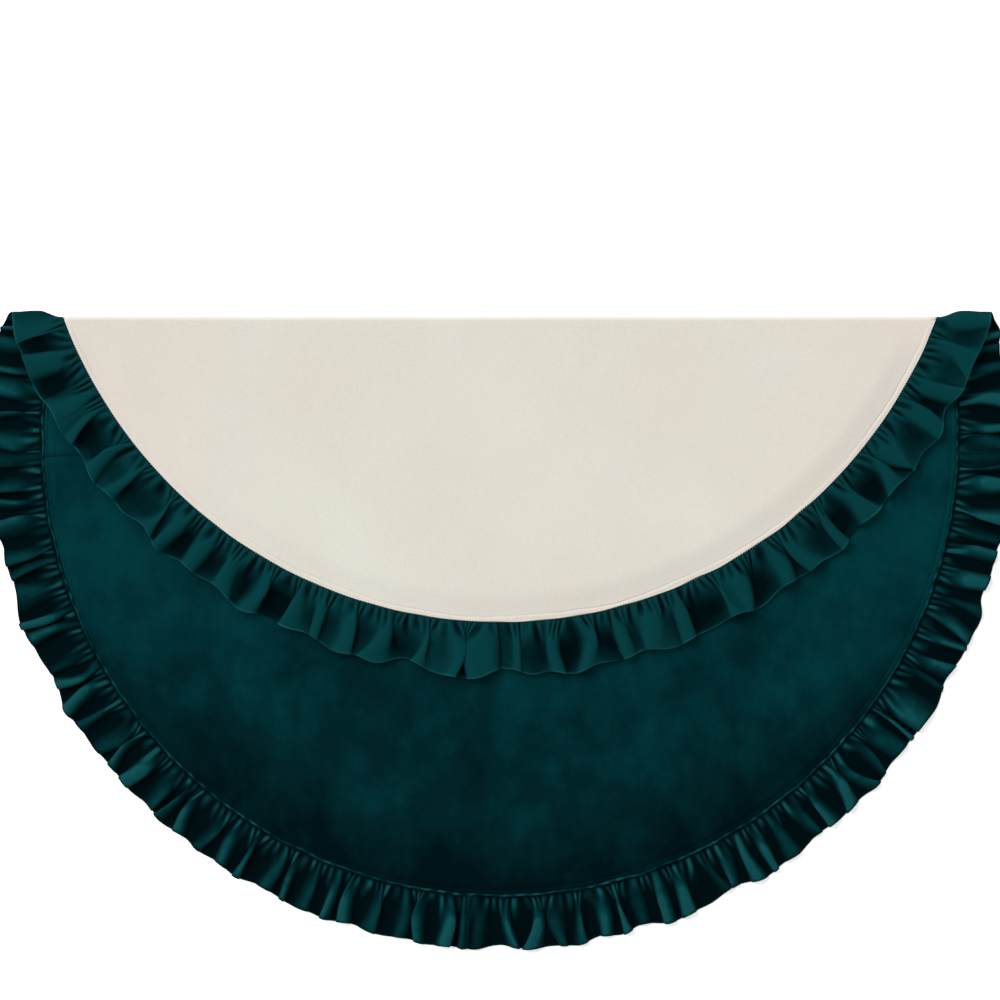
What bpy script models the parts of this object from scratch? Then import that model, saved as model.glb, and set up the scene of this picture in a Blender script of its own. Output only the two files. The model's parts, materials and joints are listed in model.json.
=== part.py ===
"""Round tree skirt with a gathered ruffle, its back part folded over the front.

Metres, +Z up. The lower layer lies on the floor at z = 0 with its lining down and
its velvet up. At the fold line the cloth turns up and over, so the folded part
lies on top with its lining up. The fold turns on two hinge lines, like the spine
of a book, so the folded part can be laid out flat behind the rest.
"""
import math

import bmesh
import bpy

# Driving sizes, in metres.
OVERALL_RADIUS = 0.6096
RUFFLE_WIDTH = 0.0635
FOLD_OFFSET = 0.1444
FOLD_EASE = 0.0387
CHORD_EASE = 0.0077
TRUNK_HOLE_RADIUS = 0.050
SLIT_WIDTH = 0.0015
LINING_THICKNESS = 0.0007
VELVET_THICKNESS = 0.0020
RUFFLE_THICKNESS = 0.0025
RUFFLE_HEIGHT = 0.0110
RUFFLE_HEAD_HEIGHT = 0.0046
WELT_RADIUS = 0.0015
BINDING_WIDTH = 0.008
BINDING_THICKNESS = 0.0010
TAB_HEADROOM = 0.0010
TAB_WIDTH = 0.022
TAB_THICKNESS = 0.0012
TAB_LIP = 0.003
TAB_SETBACK = 0.004
PATCH_INSET = 0.00025
PATCH_THICKNESS = 0.0006
PATCH_MARGIN = 0.0010
TAB_DISTANCES = (0.110, 0.250, 0.390)
WELT_SETBACK = 0.0006
GAP = 0.0003

# Directions round the skirt, in degrees anticlockwise from +X.
SLIT_ANGLE = 182.4
FRONT_JOIN_ANGLE = 266.2
RIGHT_JOIN_ANGLE = 358.0
BACK_JOIN_ANGLE = 89.8
WAVE_PITCH_DEG = 4.0
COLUMNS_PER_WAVE = 6
ARC_STEP_DEG = 3.0
HOLE_STEP_DEG = 10.0

# Everything below follows from the sizes above.
TURN = 2.0 * math.pi
SEAM_RADIUS = OVERALL_RADIUS - RUFFLE_WIDTH
CENTRE_Y = (OVERALL_RADIUS - FOLD_OFFSET) / 2.0
FOLD_Y = CENTRE_Y + FOLD_OFFSET
LAYER = LINING_THICKNESS + GAP + VELVET_THICKNESS
SPINE_HEIGHT = 2.0 * RUFFLE_HEIGHT - 2.0 * LAYER + GAP
TOP = 2.0 * LAYER + SPINE_HEIGHT
HINGE_Y = FOLD_Y - LAYER
EDGE_Y = HINGE_Y - GAP / 2.0
FLAP_HALF_CHORD = math.sqrt(SEAM_RADIUS ** 2 - FOLD_OFFSET ** 2) - CHORD_EASE
FLAP_DEPTH = SEAM_RADIUS - FOLD_OFFSET - FOLD_EASE
FLAP_RADIUS = (FLAP_HALF_CHORD ** 2 + FLAP_DEPTH ** 2) / (2.0 * FLAP_DEPTH)
FLAP_CENTRE_Y = FOLD_Y - FLAP_DEPTH + FLAP_RADIUS
FLAP_JOIN_X = SEAM_RADIUS * math.cos(math.radians(BACK_JOIN_ANGLE))
SPINE_HALF_LENGTH = FLAP_HALF_CHORD + CHORD_EASE / 2.0
TAB_LENGTH = SPINE_HEIGHT - GAP - TAB_HEADROOM
PATCH_START = TAB_SETBACK + SLIT_WIDTH / 2.0 + PATCH_INSET
PATCH_LENGTH = TAB_LENGTH - PATCH_MARGIN - PATCH_START

SKIRT_CENTRE = (0.0, CENTRE_Y)
FLAP_CENTRE = (0.0, FLAP_CENTRE_Y)

COLLECTION_NAME = "tree_skirt"


def clear_scene():
    """Start from an empty file."""
    for obj in list(bpy.data.objects):
        bpy.data.objects.remove(obj, do_unlink=True)


def make_collection(name):
    """Make a collection for the skirt's pieces."""
    collection = bpy.data.collections.new(name)
    bpy.context.scene.collection.children.link(collection)
    return collection


def make_material(name, colour, roughness):
    """Make one cloth material."""
    material = bpy.data.materials.new(name)
    material.use_nodes = True
    shader = material.node_tree.nodes["Principled BSDF"]
    shader.inputs["Base Color"].default_value = (*colour, 1.0)
    shader.inputs["Roughness"].default_value = roughness
    shader.inputs["Metallic"].default_value = 0.0
    material.diffuse_color = (*colour, 1.0)
    return material


def make_pivot(name, location, collection, turn=0.0):
    """Empty on a hinge line, which carries the pieces that turn about it."""
    pivot = bpy.data.objects.new(name, None)
    pivot.location = location
    pivot.rotation_euler = (0.0, 0.0, turn)
    pivot.empty_display_size = 0.02
    collection.objects.link(pivot)
    return pivot


def place(name, data, material, collection, location, pivot=None):
    """Make one named object of some geometry, in the world or relative to a pivot."""
    data.materials.append(material)
    obj = bpy.data.objects.new(name, data)
    collection.objects.link(obj)
    obj.location = location
    obj.parent = pivot
    return obj


def polar(centre, radius, angle):
    """Point at a radius and an angle in radians about a centre."""
    x = centre[0] + radius * math.cos(angle)
    y = centre[1] + radius * math.sin(angle)
    return (x, y)


def arc_points(centre, radius, start, end, step_deg=ARC_STEP_DEG):
    """Points along an arc, both ends included, angles in radians."""
    count = max(2, round(abs(math.degrees(end - start)) / step_deg))
    return [polar(centre, radius, start + (end - start) * i / count) for i in range(count + 1)]


def flat_shape(name, outline, thickness):
    """Flat cloth of one thickness, cut to an outline."""
    curve = bpy.data.curves.new(name, "CURVE")
    curve.dimensions = "2D"
    curve.fill_mode = "BOTH"
    curve.extrude = thickness / 2.0
    spline = curve.splines.new("POLY")
    spline.points.add(len(outline) - 1)
    for point, (x, y) in zip(spline.points, outline):
        point.co = (x, y, 0.0, 1.0)
    spline.use_cyclic_u = True
    return curve


def block_shape(name, size):
    """Plain rectangular block about its own middle."""
    solid = bmesh.new()
    bmesh.ops.create_cube(solid, size=1.0)
    bmesh.ops.scale(solid, vec=size, verts=solid.verts)
    mesh = bpy.data.meshes.new(name)
    solid.to_mesh(mesh)
    solid.free()
    return mesh


def cord_shape(name, points, radius):
    """Round cord through a row of points, closed at both ends."""
    curve = bpy.data.curves.new(name, "CURVE")
    curve.dimensions = "3D"
    curve.bevel_depth = radius
    curve.bevel_resolution = 2
    curve.use_fill_caps = True
    spline = curve.splines.new("POLY")
    spline.points.add(len(points) - 1)
    for point, (x, y) in zip(spline.points, points):
        point.co = (x, y, 0.0, 1.0)
    return curve


def fold_angle(centre, radius, side):
    """Angle where a circle meets the cut edge at the fold, on the right or the left."""
    rise = math.asin((EDGE_Y - centre[1]) / radius)
    return rise if side == "right" else math.pi - rise


def slit_angle(radius, side):
    """Angle of one edge of the slit at a radius; side is +1 in front and -1 behind."""
    return math.radians(SLIT_ANGLE) + side * math.asin(SLIT_WIDTH / 2.0 / radius)


def skirt_outline():
    """Keyhole outline: round edge, straight edge at the fold, slit and trunk hole."""
    right = fold_angle(SKIRT_CENTRE, SEAM_RADIUS, "right")
    left = fold_angle(SKIRT_CENTRE, SEAM_RADIUS, "left")
    front_edge = slit_angle(SEAM_RADIUS, 1)
    back_edge = slit_angle(SEAM_RADIUS, -1)
    hole_start = slit_angle(TRUNK_HOLE_RADIUS, -1)
    hole_end = slit_angle(TRUNK_HOLE_RADIUS, 1) - TURN
    outline = arc_points(SKIRT_CENTRE, SEAM_RADIUS, front_edge, right + TURN)
    outline += arc_points(SKIRT_CENTRE, SEAM_RADIUS, left, back_edge)
    outline += arc_points(SKIRT_CENTRE, TRUNK_HOLE_RADIUS, hole_start, hole_end, HOLE_STEP_DEG)
    return outline


def flap_outline():
    """Round segment of the folded part, straight along the fold, about its pivot."""
    right = fold_angle(FLAP_CENTRE, FLAP_RADIUS, "right")
    left = fold_angle(FLAP_CENTRE, FLAP_RADIUS, "left")
    points = arc_points(FLAP_CENTRE, FLAP_RADIUS, left - TURN, right)
    return [(x, y - HINGE_Y) for x, y in points]


def add_panels(collection, lining, velvet, fold_pivot, flap_pivot):
    """Lining and velvet of the lower layer, of the turn and of the flap."""
    outline = skirt_outline()
    shape = flat_shape("skirt_lining", outline, LINING_THICKNESS)
    place("skirt_lining", shape, lining, collection, (0.0, 0.0, LINING_THICKNESS / 2.0))
    shape = flat_shape("skirt_velvet", outline, VELVET_THICKNESS)
    place("skirt_velvet", shape, velvet, collection, (0.0, 0.0, LAYER - VELVET_THICKNESS / 2.0))

    length = 2.0 * SPINE_HALF_LENGTH
    height = SPINE_HEIGHT - GAP
    shape = block_shape("fold_lining", (length, LINING_THICKNESS, height))
    spot = (0.0, LAYER - LINING_THICKNESS / 2.0, SPINE_HEIGHT / 2.0)
    place("fold_lining", shape, lining, collection, spot, fold_pivot)
    shape = block_shape("fold_velvet", (length, VELVET_THICKNESS, height))
    spot = (0.0, VELVET_THICKNESS / 2.0, SPINE_HEIGHT / 2.0)
    place("fold_velvet", shape, velvet, collection, spot, fold_pivot)

    outline = flap_outline()
    shape = flat_shape("flap_lining", outline, LINING_THICKNESS)
    spot = (0.0, 0.0, LAYER - LINING_THICKNESS / 2.0)
    place("flap_lining", shape, lining, collection, spot, flap_pivot)
    shape = flat_shape("flap_velvet", outline, VELVET_THICKNESS)
    place("flap_velvet", shape, velvet, collection, (0.0, 0.0, VELVET_THICKNESS / 2.0), flap_pivot)


def ruffle_base(angle, share):
    """Height of the ruffle's underside; share is 0 at the seam and 1 at the free edge."""
    phase = TURN * math.degrees(angle) / WAVE_PITCH_DEG
    head = (RUFFLE_HEAD_HEIGHT - RUFFLE_THICKNESS) / 2.0
    full = (RUFFLE_HEIGHT - RUFFLE_THICKNESS) / 2.0
    swell = 0.86 + 0.14 * math.sin(7.3 * angle) * math.cos(19.1 * angle)
    return (head + (full - head) * share) * swell * (1.0 - math.cos(phase))


def ruffle_shape(name, centre, seam_radius, start_of, end_of):
    """Wavy strip of cloth that stands on the floor between two end lines.

    start_of and end_of give the angle of an end line at a radius. The strip is a
    grid bent round the arc and lifted into waves, then thickened straight up.
    """
    inner = seam_radius + GAP
    span = math.degrees(end_of(seam_radius) - start_of(seam_radius))
    count = max(4, round(span / WAVE_PITCH_DEG * COLUMNS_PER_WAVE))
    sheet = bmesh.new()
    bmesh.ops.create_grid(sheet, x_segments=count, y_segments=2, size=1.0)
    for vert in sheet.verts:
        along = (vert.co.x + 1.0) / 2.0
        share = (vert.co.y + 1.0) / 2.0
        radius = inner + (RUFFLE_WIDTH - GAP) * share
        start = start_of(radius)
        angle = start + (end_of(radius) - start) * along
        x, y = polar(centre, radius, angle)
        vert.co = (x, y, ruffle_base(angle, share))
    raised = bmesh.ops.extrude_face_region(sheet, geom=sheet.faces[:], use_keep_orig=True)
    lifted = [item for item in raised["geom"] if isinstance(item, bmesh.types.BMVert)]
    bmesh.ops.translate(sheet, vec=(0.0, 0.0, RUFFLE_THICKNESS), verts=lifted)
    bmesh.ops.recalc_face_normals(sheet, faces=sheet.faces)
    mesh = bpy.data.meshes.new(name)
    sheet.to_mesh(mesh)
    sheet.free()
    return mesh


def at_join(angle, side):
    """End line at a join: half a gap to one side of a fixed direction."""
    return lambda radius: angle + side * GAP / 2.0 / radius


def at_slit(side):
    """End line along one edge of the slit."""
    return lambda radius: slit_angle(radius, side)


def at_fold(centre, side, turns=0):
    """End line along the cut edge at the fold."""
    return lambda radius: fold_angle(centre, radius, side) + turns * TURN


def add_lower_ruffles(collection, velvet):
    """The four strips of ruffle that belong to the layer on the floor."""
    front_join = math.radians(FRONT_JOIN_ANGLE)
    right_join = math.radians(RIGHT_JOIN_ANGLE)
    strips = [
        ("ruffle_left_front", at_slit(1), at_join(front_join, -1)),
        ("ruffle_right_front", at_join(front_join, 1), at_join(right_join, -1)),
        ("ruffle_right_side", at_join(right_join, 1), at_fold(SKIRT_CENTRE, "right", 1)),
        ("ruffle_left_side", at_fold(SKIRT_CENTRE, "left"), at_slit(-1)),
    ]
    for name, start_of, end_of in strips:
        shape = ruffle_shape(name, SKIRT_CENTRE, SEAM_RADIUS, start_of, end_of)
        place(name, shape, velvet, collection, (0.0, 0.0, 0.0))


def add_flap_ruffles(collection, velvet, flap_pivot):
    """The two strips of ruffle round the folded part, made upright and turned over."""
    join = 1.5 * math.pi + FLAP_JOIN_X / FLAP_RADIUS
    strips = [
        ("ruffle_left_flap", at_fold(FLAP_CENTRE, "left"), at_join(join, -1)),
        ("ruffle_right_flap", at_join(join, 1), at_fold(FLAP_CENTRE, "right", 1)),
    ]
    for name, start_of, end_of in strips:
        shape = ruffle_shape(name, FLAP_CENTRE, FLAP_RADIUS, start_of, end_of)
        for vert in shape.vertices:
            vert.co.y -= HINGE_Y
            vert.co.z = LAYER - vert.co.z
        shape.flip_normals()
        place(name, shape, velvet, collection, (0.0, 0.0, 0.0), flap_pivot)


def add_fold_ruffles(collection, velvet, fold_pivot):
    """The two short ends of ruffle that turn with the fold."""
    size = (RUFFLE_WIDTH - GAP, LAYER, SPINE_HEIGHT - GAP)
    reach = SPINE_HALF_LENGTH + GAP + size[0] / 2.0
    for name, side in (("ruffle_right_fold", 1), ("ruffle_left_fold", -1)):
        spot = (side * reach, LAYER / 2.0, SPINE_HEIGHT / 2.0)
        place(name, block_shape(name, size), velvet, collection, spot, fold_pivot)


def add_welts(collection, velvet, flap_pivot):
    """The raised seam beside the ruffle, on the velvet side of both layers."""
    radius = SEAM_RADIUS - WELT_RADIUS - GAP
    end = fold_angle(SKIRT_CENTRE, SEAM_RADIUS, "right") - WELT_SETBACK / radius
    height = LAYER + GAP + WELT_RADIUS
    points = arc_points(SKIRT_CENTRE, radius, slit_angle(radius, 1), end + TURN)
    shape = cord_shape("edge_welt_front", points, WELT_RADIUS)
    place("edge_welt_front", shape, velvet, collection, (0.0, 0.0, height))
    start = fold_angle(SKIRT_CENTRE, SEAM_RADIUS, "left") + WELT_SETBACK / radius
    points = arc_points(SKIRT_CENTRE, radius, start, slit_angle(radius, -1))
    shape = cord_shape("edge_welt_side", points, WELT_RADIUS)
    place("edge_welt_side", shape, velvet, collection, (0.0, 0.0, height))

    radius = FLAP_RADIUS - WELT_RADIUS - GAP
    start = fold_angle(FLAP_CENTRE, radius, "left") + WELT_SETBACK / radius
    end = fold_angle(FLAP_CENTRE, radius, "right") + TURN - WELT_SETBACK / radius
    points = [(x, y - HINGE_Y) for x, y in arc_points(FLAP_CENTRE, radius, start, end)]
    shape = cord_shape("flap_edge_welt", points, WELT_RADIUS)
    place("flap_edge_welt", shape, velvet, collection, (0.0, 0.0, -GAP - WELT_RADIUS), flap_pivot)


def add_binding(collection, tape):
    """Tape round the trunk hole, open at the slit."""
    inner = TRUNK_HOLE_RADIUS
    outer = TRUNK_HOLE_RADIUS + BINDING_WIDTH
    end = slit_angle(outer, -1) + TURN
    outline = arc_points(SKIRT_CENTRE, outer, slit_angle(outer, 1), end, HOLE_STEP_DEG)
    start = slit_angle(inner, -1) + TURN
    outline += arc_points(SKIRT_CENTRE, inner, start, slit_angle(inner, 1), HOLE_STEP_DEG)
    shape = flat_shape("trunk_hole_binding", outline, BINDING_THICKNESS)
    height = LAYER + GAP + BINDING_THICKNESS / 2.0
    place("trunk_hole_binding", shape, tape, collection, (0.0, 0.0, height))


def slit_point(along, across):
    """Plan point at a distance along the slit and across it, towards the front."""
    angle = math.radians(SLIT_ANGLE)
    x = along * math.cos(angle) - across * math.sin(angle)
    y = CENTRE_Y + along * math.sin(angle) + across * math.cos(angle)
    return (x, y)


def tab_section():
    """Side view of a tab: a sewn lip, then a tongue raised by the two patches."""
    tongue = 2.0 * (PATCH_THICKNESS + GAP)
    crown = tongue + TAB_THICKNESS
    return [
        (0.0, 0.0),
        (TAB_LIP, 0.0),
        (TAB_LIP, tongue),
        (TAB_LENGTH, tongue),
        (TAB_LENGTH, crown),
        (0.0, crown),
    ]


def add_closure(number, along, collection, velvet, hook, loop):
    """One hook-and-loop tab across the slit, sewn on behind it and gripping in front."""
    turn = math.radians(SLIT_ANGLE)
    base = LAYER + GAP
    reach = TAB_LENGTH - PATCH_MARGIN - PATCH_LENGTH / 2.0
    patch = (TAB_WIDTH - 2.0 * PATCH_MARGIN, PATCH_LENGTH, PATCH_THICKNESS)
    x, y = slit_point(along, -TAB_SETBACK)
    pivot = make_pivot(f"tab_hinge_{number}", (x, y, base), collection, turn)

    name = f"closure_tab_{number}"
    tab = place(name, flat_shape(name, tab_section(), TAB_WIDTH), velvet, collection, (0, 0, 0), pivot)
    tab.rotation_euler = (math.pi / 2.0, 0.0, math.pi / 2.0)

    name = f"hook_patch_{number}"
    spot = (0.0, reach, 1.5 * PATCH_THICKNESS + GAP)
    place(name, block_shape(name, patch), hook, collection, spot, pivot)

    name = f"loop_patch_{number}"
    x, y = slit_point(along, reach - TAB_SETBACK)
    spot = (x, y, base + PATCH_THICKNESS / 2.0)
    patch_object = place(name, block_shape(name, patch), loop, collection, spot)
    patch_object.rotation_euler = (0.0, 0.0, turn)


def main():
    """Build every piece of the skirt."""
    clear_scene()
    collection = make_collection(COLLECTION_NAME)
    velvet = make_material("teal_velvet", (0.0018, 0.030, 0.036), 0.85)
    ruffle_velvet = make_material("ruffle_velvet", (0.0022, 0.034, 0.040), 0.75)
    lining = make_material("cream_lining", (0.725, 0.690, 0.600), 0.80)
    tape = make_material("binding_tape", (0.0015, 0.024, 0.029), 0.80)
    hook = make_material("hook_tape", (0.004, 0.030, 0.035), 0.60)
    loop = make_material("loop_tape", (0.005, 0.040, 0.046), 0.95)
    fold_pivot = make_pivot("fold_lower_hinge", (0.0, HINGE_Y, LAYER), collection)
    flap_pivot = make_pivot("fold_upper_hinge", (0.0, HINGE_Y, TOP - LAYER), collection)
    add_panels(collection, lining, velvet, fold_pivot, flap_pivot)
    add_lower_ruffles(collection, ruffle_velvet)
    add_fold_ruffles(collection, ruffle_velvet, fold_pivot)
    add_flap_ruffles(collection, ruffle_velvet, flap_pivot)
    add_welts(collection, velvet, flap_pivot)
    add_binding(collection, tape)
    for number, along in enumerate(TAB_DISTANCES, 1):
        add_closure(number, along, collection, velvet, hook, loop)


main()
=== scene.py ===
# %% [markdown]
# A round tree skirt of dark teal velvet, lined with cream cloth, with a gathered ruffle all
# round its edge. It lies flat on the floor, and its back part is folded over the front, so
# the lining shows there. The solid model gives the sizes and says what moves with what. This
# script makes the cloth: each layer is one sheet that follows the floor, turns over at the
# fold and lies back on itself.

import json
import math

import bmesh
import bpy
import numpy as np
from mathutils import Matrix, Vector

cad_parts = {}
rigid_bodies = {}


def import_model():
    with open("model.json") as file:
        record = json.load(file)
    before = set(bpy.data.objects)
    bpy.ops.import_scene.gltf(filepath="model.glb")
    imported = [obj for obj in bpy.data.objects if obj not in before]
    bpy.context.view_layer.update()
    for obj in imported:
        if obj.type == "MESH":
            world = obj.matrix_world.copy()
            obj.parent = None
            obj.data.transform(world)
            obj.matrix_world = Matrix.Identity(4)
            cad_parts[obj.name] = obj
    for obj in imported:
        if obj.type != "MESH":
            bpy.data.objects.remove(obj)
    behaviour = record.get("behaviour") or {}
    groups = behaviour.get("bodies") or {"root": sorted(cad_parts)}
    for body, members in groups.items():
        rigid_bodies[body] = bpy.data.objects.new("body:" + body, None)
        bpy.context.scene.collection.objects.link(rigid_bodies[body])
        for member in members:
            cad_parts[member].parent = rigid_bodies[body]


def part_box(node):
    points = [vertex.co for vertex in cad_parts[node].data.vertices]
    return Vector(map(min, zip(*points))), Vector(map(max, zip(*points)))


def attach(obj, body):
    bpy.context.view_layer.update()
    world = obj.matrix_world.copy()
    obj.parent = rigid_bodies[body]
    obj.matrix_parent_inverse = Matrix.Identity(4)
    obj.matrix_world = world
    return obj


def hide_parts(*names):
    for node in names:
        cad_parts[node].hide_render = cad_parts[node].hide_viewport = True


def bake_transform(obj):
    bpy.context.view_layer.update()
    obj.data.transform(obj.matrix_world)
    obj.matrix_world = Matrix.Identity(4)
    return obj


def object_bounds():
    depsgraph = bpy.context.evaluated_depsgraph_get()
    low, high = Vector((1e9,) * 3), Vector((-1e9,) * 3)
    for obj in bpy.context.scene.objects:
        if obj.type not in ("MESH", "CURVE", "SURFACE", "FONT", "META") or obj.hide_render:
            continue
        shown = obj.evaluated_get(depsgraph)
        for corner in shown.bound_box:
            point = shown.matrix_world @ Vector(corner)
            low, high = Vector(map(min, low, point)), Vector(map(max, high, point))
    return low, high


for startup_object in list(bpy.data.objects):
    bpy.data.objects.remove(startup_object, do_unlink=True)
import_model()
cad_low, cad_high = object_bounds()
print("solid model:", [round(v, 4) for v in (*cad_low, *cad_high)])

# %% [markdown]
# A cloth piece is easiest to think about flat, as it was cut. Every sheet here is worked out
# on the open skirt first, and only then bent over the fold. So the sizes to read from the
# solid model are the round seam, the ruffle, the fold line and the height of the fold.

# %% Sizes of the skirt
MM = 0.001
TAU = 2 * math.pi
OUTER = cad_high.x
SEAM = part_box("skirt_velvet")[1].x
RUFFLE = OUTER - SEAM
FOLD_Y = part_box("fold_lining")[1].y
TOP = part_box("flap_lining")[1].z
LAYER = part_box("skirt_velvet")[1].z
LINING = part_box("skirt_lining")[1].z
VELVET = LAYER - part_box("skirt_velvet")[0].z
CENTRE = (0.0, cad_low.y + OUTER)
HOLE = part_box("trunk_hole_binding")[1].x - 8 * MM
SLIT = math.radians(182.4)
SLIT_GAP = 0.06 * MM
FLAP_DEPTH = FOLD_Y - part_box("flap_velvet")[0].y
FLAP_HALF_CHORD = 519 * MM
FLAP_SEAM = (FLAP_HALF_CHORD**2 + FLAP_DEPTH**2) / (2 * FLAP_DEPTH)
FLAP_CENTRE = (0.0, FOLD_Y - FLAP_DEPTH + FLAP_SEAM)
print("seam radius", round(SEAM, 4), "ruffle", round(RUFFLE, 4), "fold line", round(FOLD_Y, 4))
print("flap depth", round(FLAP_DEPTH, 4), "flap radius", round(FLAP_SEAM, 4), "hole", round(HOLE, 4))

# %% [markdown]
# At the fold the cloth turns through half a circle, squashed a little towards the fold by
# its own weight. The turn could be modelled by hand, but one rule that carries any point of
# the open skirt to its place on the folded one keeps velvet, lining and ruffle in step. In
# that rule, y runs across the open cloth, and height is measured from the lining's face.

# %% The fold
TURN_HALF = TOP / 2
TURN_DEPTH = 5 * MM
TURN_Y = FOLD_Y - TURN_DEPTH
TURN_PATH = math.pi * math.sqrt((TURN_HALF**2 + TURN_DEPTH**2) / 2)
TURN_MIDDLE = TURN_Y + TURN_PATH / 2
TURN_END = TURN_Y + TURN_PATH


def fold_over(x, y, height):
    """Carry points of the open skirt to their places on the folded one."""
    angle = np.clip((y - TURN_Y) / TURN_PATH, 0, 1) * math.pi
    left = TURN_HALF - height
    folded_y = np.minimum(y, TURN_Y) + left * TURN_DEPTH / TURN_HALF * np.sin(angle)
    folded_y = folded_y - np.maximum(y - TURN_END, 0)
    folded_z = TURN_HALF - left * np.cos(angle)
    return np.stack([x + 0 * folded_y, folded_y, folded_z], axis=-1)


def open_y(folded_y):
    """Place on the open skirt of a point of the folded part."""
    return TURN_END + TURN_Y - folded_y


print("cloth taken up by the turn:", round(TURN_PATH / MM, 1), "mm")

# %% [markdown]
# Cloth is never perfectly even. Smooth, seeded wandering values give each fold and each
# hand's breadth of cloth its own small difference, the same ones on every run.


# %% Unevenness
def wander(t, length, seed, waves=5):
    """Smooth value, about -1 to 1, that wanders along a line; length is in millimetres."""
    chance = np.random.default_rng(seed)
    total = 0 * t
    for _ in range(waves):
        wave = length * MM * chance.uniform(0.6, 1.9)
        total = total + chance.uniform(0.5, 1.0) * np.sin(TAU * t / wave + chance.uniform(0, TAU))
    return total / (0.42 * waves)


def drift(x, y, length, seed, waves=7):
    """The same over a surface."""
    chance = np.random.default_rng(seed)
    total = 0 * x
    for _ in range(waves):
        wave = length * MM * chance.uniform(0.6, 1.9)
        way = chance.uniform(0, TAU)
        along = x * math.cos(way) + y * math.sin(way)
        total = total + chance.uniform(0.5, 1.0) * np.sin(TAU * along / wave + chance.uniform(0, TAU))
    return total / (0.42 * waves)


def ease(t, low=0.0, high=1.0):
    """Smooth step from 0 at low to 1 at high."""
    s = np.clip((t - low) / (high - low), 0, 1)
    return s * s * (3 - 2 * s)


# %% [markdown]
# The ruffle follows the round seam all the way from one edge of the slit, round the front,
# over the fold, round the folded part and back to the slit. The seam is written down once,
# as points with the direction that points outwards, and everything beside it is placed by
# its distance along that line. At the ends of the fold the outward direction swings round
# until it runs along the fold, so that the ruffle folds over square.

# %% The seam line
STEP = 1.1 * MM


def polar(centre, radius, angle):
    """Points at a radius and angles about a centre."""
    return np.stack([centre[0] + radius * np.cos(angle), centre[1] + radius * np.sin(angle)], -1)


def arc_run(centre, radius, start, end):
    """Seam points along an arc and their outward directions."""
    count = max(2, round(abs(end - start) * radius / STEP))
    angle = np.linspace(start, end, count + 1)
    return polar(centre, radius, angle), np.stack([np.cos(angle), np.sin(angle)], -1)


def open_run(points, outward):
    """Turn a run on the folded part into one on the open skirt."""
    points = np.stack([points[:, 0], open_y(points[:, 1])], -1)
    return points, outward * np.array([1.0, -1.0])


def turn_run(start, start_out, end, end_out):
    """Seam points over the fold, between the run before it and the run after it."""
    count = round(TURN_PATH / STEP)
    t = np.linspace(0, 1, count + 1)[1:-1, None]
    along = np.array([[-start_out[1], start_out[0]], [-end_out[1], end_out[0]]])
    along = along * np.sign(end[1] - start[1]) * np.sign(along[:, 1:2]) * TURN_PATH
    points = (2 * t**3 - 3 * t**2 + 1) * start + (t**3 - 2 * t**2 + t) * along[0]
    points = points + (3 * t**2 - 2 * t**3) * end + (t**3 - t**2) * along[1]
    outward = (1 - t) * start_out + t * end_out
    return points, outward / np.linalg.norm(outward, axis=1, keepdims=True)


rise = math.asin((TURN_Y - CENTRE[1]) / SEAM)
flap_rise = math.asin((TURN_Y - FLAP_CENTRE[1]) / FLAP_SEAM)
slit_half = SLIT_GAP / 2 / SEAM
front = arc_run(CENTRE, SEAM, SLIT + slit_half, rise + TAU)
flap = open_run(*arc_run(FLAP_CENTRE, FLAP_SEAM, flap_rise + TAU, math.pi - flap_rise))
side = arc_run(CENTRE, SEAM, math.pi - rise, SLIT - slit_half)
right_turn = turn_run(front[0][-1], front[1][-1], flap[0][0], flap[1][0])
left_turn = turn_run(flap[0][-1], flap[1][-1], side[0][0], side[1][0])
runs = [front, right_turn, flap, left_turn, side]
seam_points = np.concatenate([run[0] for run in runs])
seam_outward = np.concatenate([run[1] for run in runs])
seam_steps = np.linalg.norm(np.diff(seam_points, axis=0), axis=1)
seam_along = np.concatenate([[0.0], np.cumsum(seam_steps)])
lengths = [len(run[0]) for run in runs]
RIGHT_MIDDLE = seam_along[lengths[0] + lengths[1] // 2]
LEFT_MIDDLE = seam_along[sum(lengths[:3]) + lengths[3] // 2]
from_fold = np.minimum(np.abs(seam_along - RIGHT_MIDDLE), np.abs(seam_along - LEFT_MIDDLE))
straight = (1 - ease(from_fold, 0, 75 * MM))[:, None]
along_fold = np.stack([np.sign(seam_points[:, 0]), 0 * from_fold], -1)
seam_outward = (1 - straight) * seam_outward + straight * along_fold
seam_outward = seam_outward / np.linalg.norm(seam_outward, axis=1, keepdims=True)
print("the whole seam is", round(seam_along[-1], 3), "m long")


def beside_seam(along, out):
    """Open-skirt points at a distance along the seam and a distance outwards from it."""
    columns = (*seam_points.T, *seam_outward.T)
    x, y, way_x, way_y = (np.interp(along, seam_along, column) for column in columns)
    return x + out * way_x, y + out * way_y


def seam_mark(x, folded_y, part):
    """Distance along the seam of the point of a part nearest to a place."""
    first = sum(len(run[0]) for run in runs[:part])
    points = runs[part][0]
    y = folded_y if part in (0, 4) else open_y(folded_y)
    return seam_along[first + int(np.argmin((points[:, 0] - x) ** 2 + (points[:, 1] - y) ** 2))]


# %% [markdown]
# Each part of the ruffle behaves a little differently. Round the front it lies free, in many
# narrow ridges. On the folded part it lies face down over the velvet, in fewer and broader
# folds. At the ends of the fold two layers of it lie on each other, so it is flatter there.

# %% Where along the seam
def on_flap(along):
    """1 on the folded part, 0 on the layer on the floor."""
    on = ease(along, RIGHT_MIDDLE - 25 * MM, RIGHT_MIDDLE + 25 * MM)
    return on * (1 - ease(along, LEFT_MIDDLE - 25 * MM, LEFT_MIDDLE + 25 * MM))


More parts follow.
